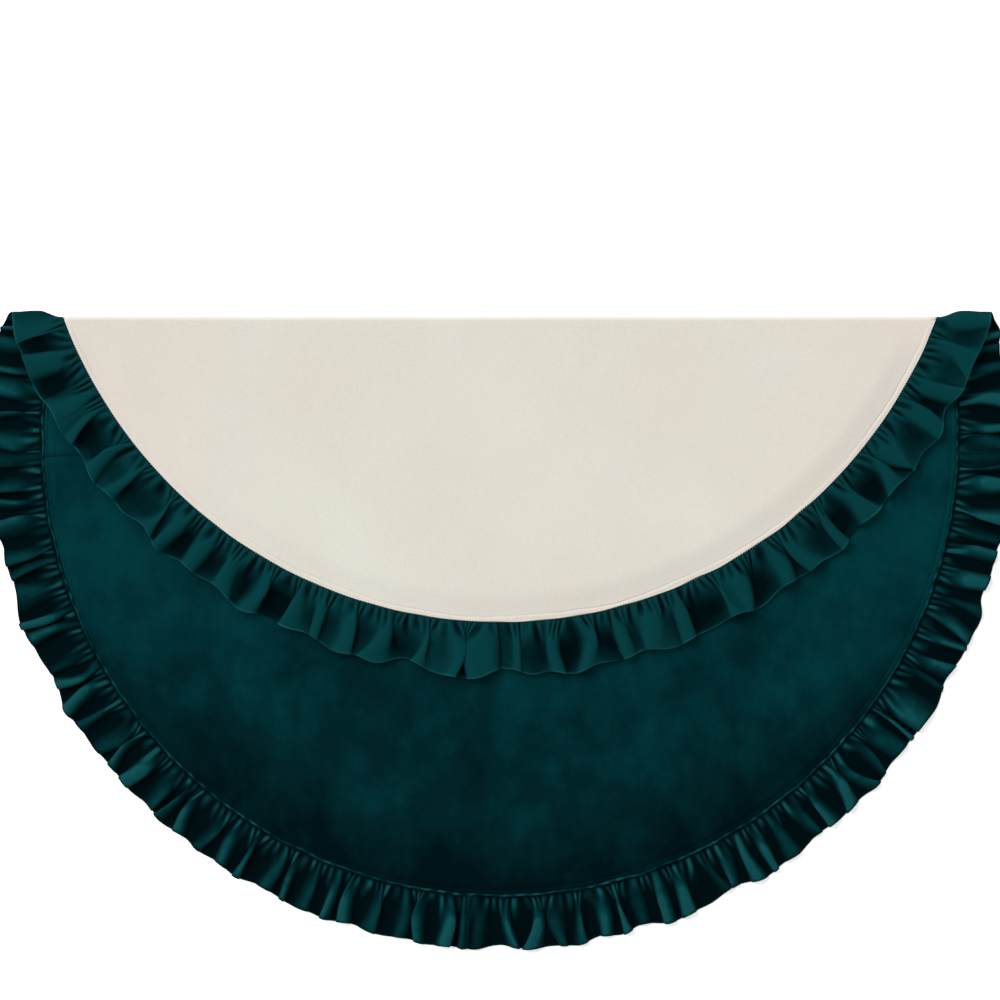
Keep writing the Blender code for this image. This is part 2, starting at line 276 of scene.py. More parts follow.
def at_corner(along):
    """1 near the ends of the fold, 0 away from them."""
    away = np.minimum(np.abs(along - RIGHT_MIDDLE), np.abs(along - LEFT_MIDDLE))
    return 1 - ease(away, 110 * MM, 190 * MM)


# %% [markdown]
# The ruffle is a strip of velvet nearly half as long again as the seam, folded double so that
# both of its faces are velvet, and drawn up on a thread. Close to the seam the gathers are
# small and tight. They run together further out into broad soft folds that lean and curl, each a
# little different. Two sets of waves do this: small ones that fade away from the seam, and
# broad ones that grow towards the free edge. Pushing the cloth sideways as well as up makes
# the walls of the folds steep, as gathered cloth has them.

# %% How the ruffle is gathered
FRONT_PITCH = 26 * MM
FLAP_PITCH = 39 * MM
PUCKER_PITCH = 8.8 * MM
RIDGE_HEIGHT = 11.0 * MM
CORNER_RIDGE = 8.0 * MM
PUCKER_HEIGHT = 3.0 * MM
RUFFLE_CLOTH = 1.2 * MM
pitch = FRONT_PITCH + (FLAP_PITCH - FRONT_PITCH) * on_flap(seam_along)
pitch = pitch * (1 + 0.20 * wander(seam_along, 120, 10) + 0.16 * wander(seam_along, 45, 9))
fold_count = np.concatenate([[0.0], np.cumsum(seam_steps / pitch[1:])])
print("broad folds in the ruffle:", int(fold_count[-1]))


def gathered(along, share):
    """Where the ruffle's cloth goes when it is drawn up.

    along is the distance along the seam and share runs from 0 at the seam to 1 at the free
    edge. Gives the moved distance along, the distance out, the height, and the painted light
    and shade of the place, from 0 in a valley to 1 on a ridge, with more painted shade at the
    floor layer's seam and hem and the folded part's hem, and painted light at its seam.
    """
    flap_share = on_flap(along)
    corner = at_corner(along)
    wave = np.interp(along, seam_along, pitch)
    sway = 9.5 * MM * wander(along, 80, 11) * share**1.3
    curl = (6.5 + 2.0 * flap_share) * MM * wander(along, 52, 12) * np.sin(math.pi * 1.1 * share)
    turns = TAU * np.interp(along, seam_along, fold_count) + 0.9 * wander(along, 48, 14)
    crest = (1 + np.cos(turns)) / 2
    narrow = crest**2.1
    broad = 1 - (1 - crest) ** 1.7
    ridge = narrow + (broad - narrow) * flap_share
    spread = 0.26 + 0.16 * flap_share
    size = np.clip(0.84 + spread * wander(along, 64, 15), 0.30, 1.12) * ease(share, 0.03, 0.62)
    puckers = TAU * along / PUCKER_PITCH + 2.0 * wander(along, 33, 16)
    reach = np.clip(0.46 + 0.15 * wander(along, 21, 17), 0.25, 0.7)
    small = (0.85 + 0.3 * wander(along, 17, 18)) * ease(share, 0.015, 0.12)
    small = np.maximum(small * (1 - ease(share / reach, 0.30, 1.0)), 0)
    pucker = (1 + np.cos(puckers)) / 2
    tall = RIDGE_HEIGHT + (CORNER_RIDGE - RIDGE_HEIGHT) * corner
    height = 0.9 * MM + tall * size * ridge + PUCKER_HEIGHT * small * pucker
    steep = np.clip(0.82 + 0.25 * wander(along, 110, 19), 0.3, 1.1)
    moved = along + sway + curl
    moved = moved + steep * wave / (4 * math.pi) * np.minimum(size, 1.05) * np.sin(2 * turns)
    moved = moved + 0.7 * PUCKER_PITCH / (4 * math.pi) * small * np.sin(2 * puckers)
    tip = np.clip(0.85 * wander(along, 100, 20), -1, 1)
    moved = moved + tip * tall * size * (ridge - 0.5)
    lobes = (0.062 + 0.030 * flap_share) * wander(moved, 74, 21) + 0.012 * wander(moved, 33, 22)
    out = RUFFLE * share * (1 + lobes * share)
    # Painted light and shade: light on ridges and puckers, painted shade at the floor layer's hem and
    # seam and towards the folded part's hem, painted light near the folded part's seam.
    painted_fold_light = size * ridge * 0.95 + 0.85 * small * pucker
    hem_shade = 0.35 * ease(share, 0.93, 1.0) * (1 - flap_share)
    seam_shade = 0.55 * (1 - ease(share, 0.02, 0.08)) * (1 - 2 * flap_share)
    flap_hem_painted_shade = 0.30 * ease(share, 0.70, 1.0) * flap_share * np.clip(painted_fold_light, 0, 1)
    painted_fold_light = painted_fold_light - hem_shade - seam_shade - flap_hem_painted_shade
    return moved, out, height + 1.4 * MM * (1 - ease(share, 0, 0.12)), np.clip(painted_fold_light, 0, 1)


# %% [markdown]
# Each sheet of cloth is a grid of points joined into faces. A Solidify modifier then gives
# the cloth its thickness, with a narrow rim all round, so that edges read as cloth and not
# as paper.


# %% Sheets
def sheet_mesh(name, points):
    """Mesh of one grid of points, rows by columns."""
    rows, columns = points.shape[:2]
    index = np.arange(rows * columns).reshape(rows, columns)
    quads = np.stack([index[:-1, :-1], index[1:, :-1], index[1:, 1:], index[:-1, 1:]], -1)
    mesh = bpy.data.meshes.new(name)
    mesh.from_pydata(points.reshape(-1, 3).tolist(), [], quads.reshape(-1, 4).tolist())
    mesh.shade_smooth()
    return mesh


def join_grids(name, grids):
    """One mesh from several grids whose edges meet."""
    whole = bmesh.new()
    for grid in grids:
        part = sheet_mesh(name + "_part", grid)
        whole.from_mesh(part)
        bpy.data.meshes.remove(part)
    bmesh.ops.remove_doubles(whole, verts=whole.verts, dist=0.02 * MM)
    bmesh.ops.recalc_face_normals(whole, faces=whole.faces)
    mesh = bpy.data.meshes.new(name)
    whole.to_mesh(mesh)
    whole.free()
    mesh.shade_smooth()
    return mesh


def add_piece(name, mesh, material):
    """Put a mesh into the scene with its material."""
    mesh.materials.append(material)
    piece = bpy.data.objects.new(name, mesh)
    bpy.context.scene.collection.objects.link(piece)
    return piece


def thicken(piece, thickness, offset=0.0):
    """Give a sheet its thickness."""
    solid = piece.modifiers.new("thickness", "SOLIDIFY")
    solid.thickness = thickness
    solid.offset = offset
    solid.use_even_offset = False
    return piece


def store(mesh, name, values):
    """Keep one number per point, for the material to read."""
    attribute = mesh.attributes.new(name, "FLOAT", "POINT")
    attribute.data.foreach_set("value", np.asarray(values, np.float32).ravel())


# %% [markdown]
# Cloth finishes are built from the same few steps: a noise, a ramp of colours, a mix and a
# bump. Short helpers for these keep each material below down to what is special about it.


# %% Node helpers
def new_material(name):
    """Material with its nodes and its shader."""
    material = bpy.data.materials.new(name)
    material.use_nodes = True
    return material, material.node_tree, material.node_tree.nodes["Principled BSDF"]


def set_inputs(node, values):
    """Set inputs of a node by their names."""
    for name, value in values.items():
        node.inputs[name].default_value = value


def feed(tree, socket, value):
    """Give an input a link or a plain value."""
    if isinstance(value, bpy.types.NodeSocket):
        tree.links.new(value, socket)
    else:
        socket.default_value = value


def noise(tree, coordinates, scale, detail=3.0, roughness=0.55, distortion=0.0):
    """Noise texture on some coordinates."""
    node = tree.nodes.new("ShaderNodeTexNoise")
    set_inputs(node, {
        "Scale": scale, "Detail": detail, "Roughness": roughness, "Distortion": distortion,
    })
    tree.links.new(coordinates, node.inputs["Vector"])
    return node.outputs["Fac"]


def ramp(tree, value, stops):
    """Colour ramp through some stops of place and colour."""
    node = tree.nodes.new("ShaderNodeValToRGB")
    node.color_ramp.elements[0].position = stops[0][0]
    node.color_ramp.elements[0].color = (*stops[0][1], 1)
    node.color_ramp.elements[1].position = stops[-1][0]
    node.color_ramp.elements[1].color = (*stops[-1][1], 1)
    for place, colour in stops[1:-1]:
        element = node.color_ramp.elements.new(place)
        element.color = (*colour, 1)
    tree.links.new(value, node.inputs["Fac"])
    return node.outputs["Color"]


def mix(tree, share, first, second, way="MIX"):
    """Mix two colours by a share."""
    node = tree.nodes.new("ShaderNodeMix")
    node.data_type = "RGBA"
    node.blend_type = way
    for number, value in ((0, share), (6, first), (7, second)):
        feed(tree, node.inputs[number], value)
    return node.outputs[2]


def sum_of(tree, way, *values):
    """Combine numbers with one kind of arithmetic."""
    total = values[0]
    for value in values[1:]:
        node = tree.nodes.new("ShaderNodeMath")
        node.operation = way
        feed(tree, node.inputs[0], total)
        feed(tree, node.inputs[1], value)
        total = node.outputs[0]
    return total


def bump(tree, shader, height, strength, distance):
    """Bump on a shader."""
    node = tree.nodes.new("ShaderNodeBump")
    set_inputs(node, {"Strength": strength, "Distance": distance})
    tree.links.new(height, node.inputs["Height"])
    tree.links.new(node.outputs["Normal"], shader.inputs["Normal"])


def attribute(tree, name):
    """Number stored on the points of a piece."""
    node = tree.nodes.new("ShaderNodeAttribute")
    node.attribute_name = name
    return node.outputs["Fac"]


def object_place(tree):
    """Place on the piece, in metres."""
    return tree.nodes.new("ShaderNodeTexCoord").outputs["Object"]


# %% [markdown]
# Velvet looks lighter or darker by how its pile lies to the light, and here that is painted into the
# colour. On the flat panels the colour drifts in soft clouds, and painted shade darkens it towards the
# front and beside the front seam, with painted light at the sides. On the ruffle, painted highlights run
# along the ridges, which look like satin, and painted shade fills the valleys, which go nearly black.
# Each side of the ruffle has its ridges in other places, so the two sides get two materials, with their
# painted light and shade the other way round. The fine bump stands for the pile itself.

# %% Velvet
PILE_TINT = (0.0, 0.62, 0.68, 1)


def velvet_shader(name):
    """Start of a velvet material, with a soft shine in the colour of the pile."""
    material, tree, shader = new_material(name)
    set_inputs(shader, {
        "Roughness": 0.68, "Specular IOR Level": 0.05, "Specular Tint": PILE_TINT,
        "Sheen Weight": 0.07, "Sheen Roughness": 0.35, "Sheen Tint": PILE_TINT,
    })
    return material, tree, shader


def pile_bump(tree, shader, place, strokes):
    """Fine bump of the pile with its brush strokes."""
    pile = noise(tree, place, 1400.0, 2.0)
    pile_and_painted_shade = sum_of(tree, "ADD", sum_of(tree, "MULTIPLY", pile, 0.5), strokes)
    bump(tree, shader, pile_and_painted_shade, 0.30, 0.4 * MM)


def panel_material():
    """Teal velvet with a cloudy nap, and painted shade that darkens it towards the front seam."""
    material, tree, shader = velvet_shader("panel_velvet")
    place = object_place(tree)
    squeeze = tree.nodes.new("ShaderNodeMapping")
    squeeze.inputs["Scale"].default_value = (1.0, 0.55, 1.0)
    tree.links.new(place, squeeze.inputs["Vector"])
    brushed_way = squeeze.outputs["Vector"]
    clouds = noise(tree, place, 8.0, 5.0, 0.66, 0.12)
    strokes = noise(tree, brushed_way, 22.0, 5.0, 0.7, 0.2)
    nap = sum_of(tree, "ADD", sum_of(tree, "MULTIPLY", clouds, 0.64),
                 sum_of(tree, "MULTIPLY", strokes, 0.36))
    # The stored value adds painted shade, darker towards the front and beside the front seam, and
    # painted light at the sides.
    pile_and_painted_shade = attribute(tree, "pile_and_painted_shade")
    nap = sum_of(tree, "ADD", nap, pile_and_painted_shade)
    stops = [
        (0.28, (0.0003, 0.0036, 0.0050)),
        (0.50, (0.0004, 0.0130, 0.0165)),
        (0.72, (0.0007, 0.0300, 0.0355)),
    ]
    tree.links.new(ramp(tree, nap, stops), shader.inputs["Base Color"])
    pile_bump(tree, shader, place, strokes)
    return material


def ruffle_material(name, ridges_up):
    """Teal velvet with painted highlights on the ridges and painted shade, nearly black, in the valleys.
    """
    material, tree, shader = velvet_shader(name)
    place = object_place(tree)
    strokes = noise(tree, place, 60.0, 3.0, 0.6, 1.0)
    # The ridge value is painted light and shade; the back side takes it the other way round.
    ridge = attribute(tree, "ridge")
    if not ridges_up:
        ridge = sum_of(tree, "SUBTRACT", 1.0, ridge)
    shade = sum_of(tree, "ADD", ridge, sum_of(tree, "MULTIPLY", strokes, 0.30))
    stops = [
        (0.22, (0.0002, 0.0022, 0.0032)),
        (0.62, (0.0006, 0.0125, 0.0152)),
        (0.88, (0.0014, 0.0300, 0.0345)),
        (1.00, (0.0042, 0.0520, 0.0580)),
    ] if ridges_up else [
        (0.25, (0.0002, 0.0022, 0.0032)),
        (0.62, (0.0006, 0.0130, 0.0158)),
        (1.00, (0.0018, 0.0330, 0.0375)),
    ]
    colour = ramp(tree, shade, stops)
    # A painted highlight along the folded free edge of the ruffle.
    edge_highlight = attribute(tree, "free_edge")
    colour = mix(tree, edge_highlight, colour, (0.006, 0.075, 0.080, 1))
    tree.links.new(colour, shader.inputs["Base Color"])
    pile_bump(tree, shader, place, strokes)
    return material


panel_velvet = panel_material()
ruffle_velvet = ruffle_material("ruffle_velvet", True)
ruffle_velvet_back = ruffle_material("ruffle_velvet_back", False)
print("velvets:", panel_velvet.name, ruffle_velvet.name, ruffle_velvet_back.name)

# %% [markdown]
# The lining is a smooth cream cloth with a plain weave too fine to count from a step away.
# It shows as a matt surface with faint soft wrinkles, a little warmer beside the seams.


# %% Lining cloth
def lining_material():
    """Matt cream lining with a fine weave and faint soft shading."""
    material, tree, shader = new_material("lining_cloth")
    place = object_place(tree)
    soft = noise(tree, place, 5.0, 3.0, 0.5, 0.3)
    stops = [
        (0.30, (0.606, 0.568, 0.510)),
        (0.62, (0.618, 0.600, 0.540)),
        (0.75, (0.632, 0.616, 0.556)),
    ]
    colour = ramp(tree, soft, stops)
    warm = attribute(tree, "seam_strip")
    colour = mix(tree, warm, colour, (0.612, 0.556, 0.506, 1))
    fleck = noise(tree, place, 420.0, 2.0)
    flecks = ramp(tree, fleck, [(0.3, (0.93, 0.93, 0.92)), (0.7, (1.0, 1.0, 1.0))])
    tree.links.new(mix(tree, 1.0, colour, flecks, "MULTIPLY"), shader.inputs["Base Color"])
    set_inputs(shader, {"Roughness": 0.82, "Specular IOR Level": 0.25, "Sheen Weight": 0.08})
    weave = tree.nodes.new("ShaderNodeTexBrick")
    set_inputs(weave, {"Scale": 900.0, "Mortar Size": 0.12, "Brick Width": 0.5, "Row Height": 0.5})
    tree.links.new(place, weave.inputs["Vector"])
    crease = noise(tree, place, 14.0, 4.0, 0.6, 1.5)
    threads = sum_of(tree, "MULTIPLY", weave.outputs["Fac"], 0.10)
    cloth = sum_of(tree, "ADD", threads, crease)
    bump(tree, shader, cloth, 0.30, 1.2 * MM)
    return material


lining_cloth = lining_material()
print("lining:", lining_cloth.name)

# %% [markdown]
# The layer on the floor is a keyhole shape: round outside, straight where it reaches the
# fold, with the trunk hole in the middle and a slit from the hole to the left edge. Spokes
# from the hole to the edge follow that shape well. Past the fold line the same spokes carry
# on as rows that climb the turn, as far as its middle, where the folded part takes over.

# %% Panels
SPOKES = 560
OVERLAP = 0.25 * MM
panel_marks = np.concatenate([
    np.linspace(0, 0.86, 34), np.linspace(0.87, 0.96, 12), np.linspace(0.963, 1, 22),
])


def lower_grids(height_at):
    """Grids of the layer on the floor and its half of the turn, at a given height."""
    turn_rise = TURN_Y - CENTRE[1]
    corner = math.asin(turn_rise / SEAM)
    first = np.linspace(SLIT, TAU + corner, round(SPOKES * 0.53))
    over = np.linspace(TAU + corner, TAU + math.pi - corner, round(SPOKES * 0.42))
    last = np.linspace(TAU + math.pi - corner, SLIT + TAU, round(SPOKES * 0.05))
    spokes = np.concatenate([first, over[1:], last[1:]])
    reach = np.full(len(spokes), SEAM)
    fold_side = (spokes > TAU + corner) & (spokes < TAU + math.pi - corner)
    reach[fold_side] = turn_rise / np.sin(spokes[fold_side])
    radius = HOLE + (reach - HOLE)[None, :] * panel_marks[:, None]
    angle = spokes[None, :] + 0 * radius
    opening = np.arcsin(np.minimum(SLIT_GAP / 2 / radius, 1))
    angle = np.clip(angle, SLIT + opening, SLIT + TAU - opening)
    x = CENTRE[0] + radius * np.cos(angle)
    y = CENTRE[1] + radius * np.sin(angle)
    flat = fold_over(x, y, height_at(x, y, SEAM - radius))
    columns = slice(len(first) - 1, len(first) + len(over) - 1)
    chord_x = x[-1, columns]
    climb = np.linspace(TURN_Y, TURN_MIDDLE + OVERLAP, 14)[:, None]
    x, y = chord_x[None, :] * turn_width(climb), climb + 0 * chord_x[None, :]
    return [flat, fold_over(x, y, height_at(x, y, 1.0 + 0 * x))]


def turn_width(y):
    """How the half chord changes along the turn, compared with its start."""
    start = math.sqrt(SEAM**2 - (TURN_Y - CENTRE[1]) ** 2)
    end = math.sqrt(FLAP_SEAM**2 - (TURN_Y - FLAP_CENTRE[1]) ** 2)
    return 1 + (end / start - 1) * ease((y - TURN_Y) / TURN_PATH)


def flap_grids(height_at):
    """Grids of the folded part and its half of the turn."""
    drop = FLAP_CENTRE[1] - TURN_Y
    corner = math.asin(drop / FLAP_SEAM)
    spokes = np.linspace(math.pi + corner, TAU - corner, 460)
    reach = drop / -np.sin(spokes)
    marks = np.concatenate([
        np.linspace(0, 0.84, 48), np.linspace(0.85, 0.94, 12), np.linspace(0.943, 1, 36),
    ])
    wavering = 0.7 * MM * wander(spokes * FLAP_SEAM, 60, 36) * np.sin((spokes - spokes[0]) / 2)
    radius = reach[None, :] + (FLAP_SEAM + wavering - reach)[None, :] * marks[:, None]
    x = FLAP_CENTRE[0] + radius * np.cos(spokes)[None, :]
    y = open_y(FLAP_CENTRE[1] + radius * np.sin(spokes)[None, :])
    flat = fold_over(x, y, height_at(x, y, FLAP_SEAM - radius))
    end_width = turn_width(np.array([TURN_END]))[0]
    climb = np.linspace(TURN_END, TURN_MIDDLE - OVERLAP, 14)[:, None]
    along_x = x[0][None, :] * turn_width(climb) / end_width
    y = climb + 0 * along_x
    return [flat, fold_over(along_x, y, height_at(along_x, y, 1.0 + 0 * y))]


# %% [markdown]
# The folded part is soft, so its front edge settles a few millimetres towards the layer
# below. The lining there was turned in and pressed before it was sewn, so an uneven crease
# runs close beside the seam.

# %% Heights of the layers
SETTLE = 4.2 * MM
SETTLE_WIDTH = 36 * MM
CREASE_IN = 6 * MM


def free_of_corner(x, y):
    """1 where the folded part has only flat velvet under it, 0 over the lower ruffle."""
    below_y = np.where(y > TURN_MIDDLE, open_y(y), y)
    return 1 - ease(np.hypot(x - CENTRE[0], below_y - CENTRE[1]), 0.470, 0.535)


def settle(x, y, from_seam):
    """How far the folded part sinks near its seam."""
    sunk = SETTLE * (1 - ease(from_seam, 0.0, SETTLE_WIDTH)) * free_of_corner(x, y)
    return sunk * ease(y - TURN_END, 0, 60 * MM)


def lower_velvet_height(x, y, from_seam):
    """Middle of the velvet of the layer on the floor."""
    flat_part = ease(TURN_Y - y, 0, 12 * MM)
    swell = 0.35 * MM * drift(x, y, 150, 31)
    groove = -0.9 * MM * np.exp(-((from_seam - 6.6 * MM) ** 2) / (1.3 * MM) ** 2)
    pillow = 0.5 * MM * np.exp(-((from_seam - 13 * MM) ** 2) / (5 * MM) ** 2)
    return LAYER - VELVET / 2 + (np.maximum(swell, -0.3 * MM) + groove + pillow) * flat_part


def lower_lining_height(x, y, from_seam):
    """Middle of the lining of the layer on the floor."""
    return LINING / 2 + 0 * x


def flap_swell(x, y):
    """Soft unevenness that both layers of the folded part share."""
    return 0.2 * MM * (1 + drift(x, y, 170, 32)) * ease(y - TURN_END, 0, 70 * MM)


def flap_lining_height(x, y, from_seam):
    """Middle of the lining of the folded part."""
    flat_part = ease(y - TURN_END, 0, 12 * MM)
    inside = CREASE_IN + 1.3 * MM * drift(x, y, 110, 33) + 0.5 * MM * drift(x, y, 24, 34)
    deep = (0.45 + 0.40 * drift(x, y, 190, 35)) * MM
    crease = np.maximum(deep, 0.05 * MM) * np.exp(-((from_seam - inside) ** 2) / (0.9 * MM) ** 2)
    lip = -0.25 * MM * np.exp(-((from_seam - inside + 3.0 * MM) ** 2) / (1.6 * MM) ** 2)
    return LINING / 2 + settle(x, y, from_seam) + flap_swell(x, y) + (crease + lip) * flat_part


def flap_velvet_height(x, y, from_seam):
    """Middle of the velvet of the folded part."""
    return LAYER - VELVET / 2 + settle(x, y, from_seam) + flap_swell(x, y)


# %% [markdown]
# Where the cloth crosses the fold it would have to bend between the bodies of the solid model.
# The lower half of the turn goes from the floor layer to the fold's spine, and the upper half
# from the spine to the folded part. The two halves mirror each other, so they stay together.
# Here these pieces only have their placement fixed into their points; they are neither bent
# nor attached to a body.


def bend_lower(piece):
    """Fix the piece's placement into its points; it is not bent or attached."""
    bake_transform(piece)


def bend_upper(piece):
    """Fix the piece's placement into its points; it is not bent or attached."""
    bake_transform(piece)


def bend_ruffle(piece, half):
    """Fix a length of ruffle's placement into its points, the same for either half; it is not bent."""
    if half == "lower":
        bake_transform(piece)
    else:
        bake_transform(piece)


# %% [markdown]
# The real skirt has one velvet and one lining, cut round and sewn together at the edge. Here
# each is made in two sheets that meet in the middle of the turn. The painted shade of the
# pile is stored on the points of the sheet.

# %% Make the panels
panels = [
    ("skirt_velvet_cloth", lower_velvet_height, "velvet", ["skirt_velvet"]),
    ("skirt_lining_cloth", lower_lining_height, "lining", ["skirt_lining"]),
    ("flap_lining_cloth", flap_lining_height, "lining", ["flap_lining", "fold_lining"]),
    ("flap_velvet_cloth", flap_velvet_height, "velvet", ["flap_velvet", "fold_velvet"]),
]


def painted_nap_shade(x, y):
    """Painted shade of the pile: darker towards the front and beside the front seam, painted light at
    the sides.
    """
    spread = np.hypot(x - CENTRE[0], y - CENTRE[1])
    front_part = ease(CENTRE[1] - y, 0.12, 0.42)
    nap = 0.10 - 0.08 * front_part + 0.06 * ease(np.abs(x), 0.25, 0.5)
    return nap - 0.225 * front_part * ease(spread, SEAM - 100 * MM, SEAM)


def warm_strip(x, y):
    """Where the lining of the folded part is warmer: beside the seam and at the ends."""
    from_seam = FLAP_SEAM - np.hypot(x - FLAP_CENTRE[0], y - FLAP_CENTRE[1])
    strip = 0.55 * np.clip((CREASE_IN - from_seam) / (2 * MM), 0, 1)
    return np.maximum(strip, 0.75 * ease(np.abs(x), 0.26, 0.46))


for name, height_at, slot, nodes in panels:
    folded = name.startswith("flap")
    mesh = join_grids(name, flap_grids(height_at) if folded else lower_grids(height_at))
    co = np.array([v.co for v in mesh.vertices])
    if folded:
        store(mesh, "seam_strip", warm_strip(co[:, 0], co[:, 1]))
    # Painted shade of the pile, stored for the velvet to read.
    store(mesh, "pile_and_painted_shade", painted_nap_shade(co[:, 0], co[:, 1]))
    material, thickness = (panel_velvet, VELVET) if slot == "velvet" else (lining_cloth, LINING)
    piece = thicken(add_piece(name, mesh, material), thickness)
    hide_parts(*nodes)
    if folded:
        bend_upper(piece)
    else:
        bend_lower(piece)
    print(name, len(mesh.vertices), "points")

# %% [markdown]
# Now the ruffle itself, in six lengths. It is cut where the four strips of velvet are
# joined, at the slit, and where one body of the solid model hands over to the next. Over
# the folded part it is the same strip seen from behind, and it settles with the cloth. At
# the ends of the fold it bulges past the fold line, because gathered cloth won't fold flat.

# %% Make the ruffle
ROWS = np.concatenate([np.linspace(0, 0.35, 14), np.linspace(0.38, 0.94, 18), [0.965, 0.985, 1.0]])
MEETING_OUT = 6.15 * MM
FOLD_LOBES = 7.0 * MM
HEAD_TUCK = 1.6 * MM
END_HOLD = 12 * MM
JOIN_TONE = 0.5


def ruffle_points(start, end):
    """Points of one length of ruffle between two distances along the seam."""
    count = max(4, round((end - start) / STEP))
    along = np.linspace(start, end, count + 1)[None, :] + 0 * ROWS[:, None]
    share = ROWS[:, None] + 0 * along
    moved, out, height, ridge = gathered(along, share)
    hold = np.minimum(ease(along - start, 0, END_HOLD), ease(end - along, 0, END_HOLD))
    moved = np.clip(along + (moved - along) * hold, start, end)
    # The painted light and shade fade to an even middle value at the ends of each length.
    ridge = ridge + (JOIN_TONE - ridge) * (1 - hold)
    x, y = beside_seam(moved, out - HEAD_TUCK * (1 - share) ** 4)
    lifted = ease(y - TURN_END, 0, 40 * MM)
    seam_x, seam_y = beside_seam(along, 0 * along)
    sink = settle(seam_x, seam_y, 0 * along)
    turn_share = np.clip((y - TURN_Y) / TURN_PATH, 0, 1)
    turning = np.sin(turn_share * math.pi)
    height = height * (1 - turning**2) + 1.5 * MM * turning**2
    points = fold_over(x, y, height + sink * lifted)
    lobe = np.exp(-(((np.abs(turn_share - 0.5) - 0.27) / 0.13) ** 2)) * (turning > 0)
    lobe = lobe * (1 - 0.45 * ease(share, 0.55, 1.0))
    points[..., 1] += MEETING_OUT * turning**2 * ease(share, 0.08, 0.42)
    points[..., 1] += FOLD_LOBES * lobe * turning * ease(share, -0.08, 0.50)
    return points, share, ridge


def ruffle_piece(name, start, end, nodes, way):
    """One length of ruffle; the front lengths move with the skirt, the others are only fixed in place.
    """
    points, share, ridge = ruffle_points(start, end)
    mesh = sheet_mesh(name, points)
    # A painted highlight along the folded free edge: uneven on the folded part's ruffle, faint
    # elsewhere.
    line = 0.45 + 0.35 * wander(np.cumsum(np.full(share.shape, STEP), axis=1), 50, 23)
    store(mesh, "free_edge", ease(share, 0.96, 0.985) * (line if way == "upper" else 0.10))
    # The painted light and shade of the folds, stored for the velvet to read.
    store(mesh, "ridge", ridge)
    piece = thicken(add_piece(name, mesh, ruffle_velvet), RUFFLE_CLOTH)
    mesh.materials.append(ruffle_velvet_back)
    piece.modifiers["thickness"].material_offset = 1
    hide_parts(*nodes)
    if way == "skirt":
        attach(piece, "skirt")
    else:
        bend_ruffle(piece, way)


front_join = seam_mark(*polar(CENTRE, SEAM, math.radians(266.2)), 0)
right_join = seam_mark(*polar(CENTRE, SEAM, math.radians(358.0)), 0)
flap_join = seam_mark(2 * MM, FOLD_Y - FLAP_DEPTH, 2)
ruffle_piece("ruffle_left_front_cloth", 0.0, front_join, ["ruffle_left_front"], "skirt")
ruffle_piece("ruffle_right_front_cloth", front_join, right_join, ["ruffle_right_front"], "skirt")
ruffle_piece("ruffle_right_side_cloth", right_join, RIGHT_MIDDLE, ["ruffle_right_side"], "lower")
ruffle_piece("ruffle_right_flap_cloth", RIGHT_MIDDLE, flap_join,
             ["ruffle_right_flap", "ruffle_right_fold"], "upper")
ruffle_piece("ruffle_left_flap_cloth", flap_join, LEFT_MIDDLE,
             ["ruffle_left_flap", "ruffle_left_fold"], "upper")
ruffle_piece("ruffle_left_side_cloth", LEFT_MIDDLE, seam_along[-1], ["ruffle_left_side"], "lower")

# %% [markdown]
# The seam between panel and ruffle stands up as a thin round ridge, because four thicknesses of velvet
# meet in it. It is a narrow roll of cloth that wanders a little with the gathers, with a painted
# highlight along it that varies in strength.

# %% Seam rolls
ROLL_RADIUS = 1.35 * MM
ROLL_SIDES = 8


def seam_roll(name, start, end, nodes, way):
    """Round ridge along the seam."""
    count = round((end - start) / (2 * STEP))
    along = np.linspace(start, end, count + 1)[:, None]
    around = np.linspace(0, TAU, ROLL_SIDES + 1)[None, :-1]
    plump = ROLL_RADIUS * (1 + 0.16 * wander(along, 9, 41) + 0.10 * wander(along, 40, 42))
    waver = 0.7 * MM * wander(along, 46, 43) + 0.3 * MM * wander(along, 13, 44)
    out = waver + plump * np.cos(around)
    height = LAYER + 0.35 * MM + plump * np.sin(around)
    x, y = beside_seam(along + 0 * around, out)
    seam_x, seam_y = beside_seam(along, 0 * along)
    height = height + settle(seam_x, seam_y, 0 * along)
    points = fold_over(x, y, height)
    tube = bmesh.new()
    rings = [[tube.verts.new(point) for point in ring] for ring in points]
    for ring, following in zip(rings, rings[1:]):
        for side_number in range(ROLL_SIDES):
            beside = (side_number + 1) % ROLL_SIDES
            near, far = ring[side_number], following[side_number]
            tube.faces.new((near, far, following[beside], ring[beside]))
    tube.faces.new(rings[0])
    tube.faces.new(rings[-1][::-1])
    bmesh.ops.recalc_face_normals(tube, faces=tube.faces)
    mesh = bpy.data.meshes.new(name)
    tube.to_mesh(mesh)
    tube.free()
    mesh.shade_smooth()
    # A painted highlight along the roll, stronger in some places than others.
    roll_painted_highlight = 0.62 + 0.20 * wander(along, 12, 45) + 0.16 * wander(along, 70, 46)
    store(mesh, "ridge", np.repeat(roll_painted_highlight[:, 0], ROLL_SIDES))
    store(mesh, "free_edge", np.zeros(len(mesh.vertices)))
    piece = add_piece(name, mesh, ruffle_velvet)
    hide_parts(*nodes)
    if way == "lower":
        bend_lower(piece)
    else:
        bend_upper(piece)
    print(name, "length", round(end - start, 3))


seam_roll("seam_roll_front", 0.0, RIGHT_MIDDLE, ["edge_welt_front"], "lower")
seam_roll("seam_roll_flap", RIGHT_MIDDLE, LEFT_MIDDLE, ["flap_edge_welt"], "upper")
seam_roll("seam_roll_side", LEFT_MIDDLE, seam_along[-1], ["edge_welt_side"], "lower")

# %% [markdown]
# Thread shows in three places: a fine overlock where the lining meets the ruffle, a line
# round the tape at the trunk hole, and one round each closing tab. A stitch is a short
# plump bar of thread that dips into the cloth at both ends. One small bar copied along a
# line is quick, and lighter than a modelled thread.


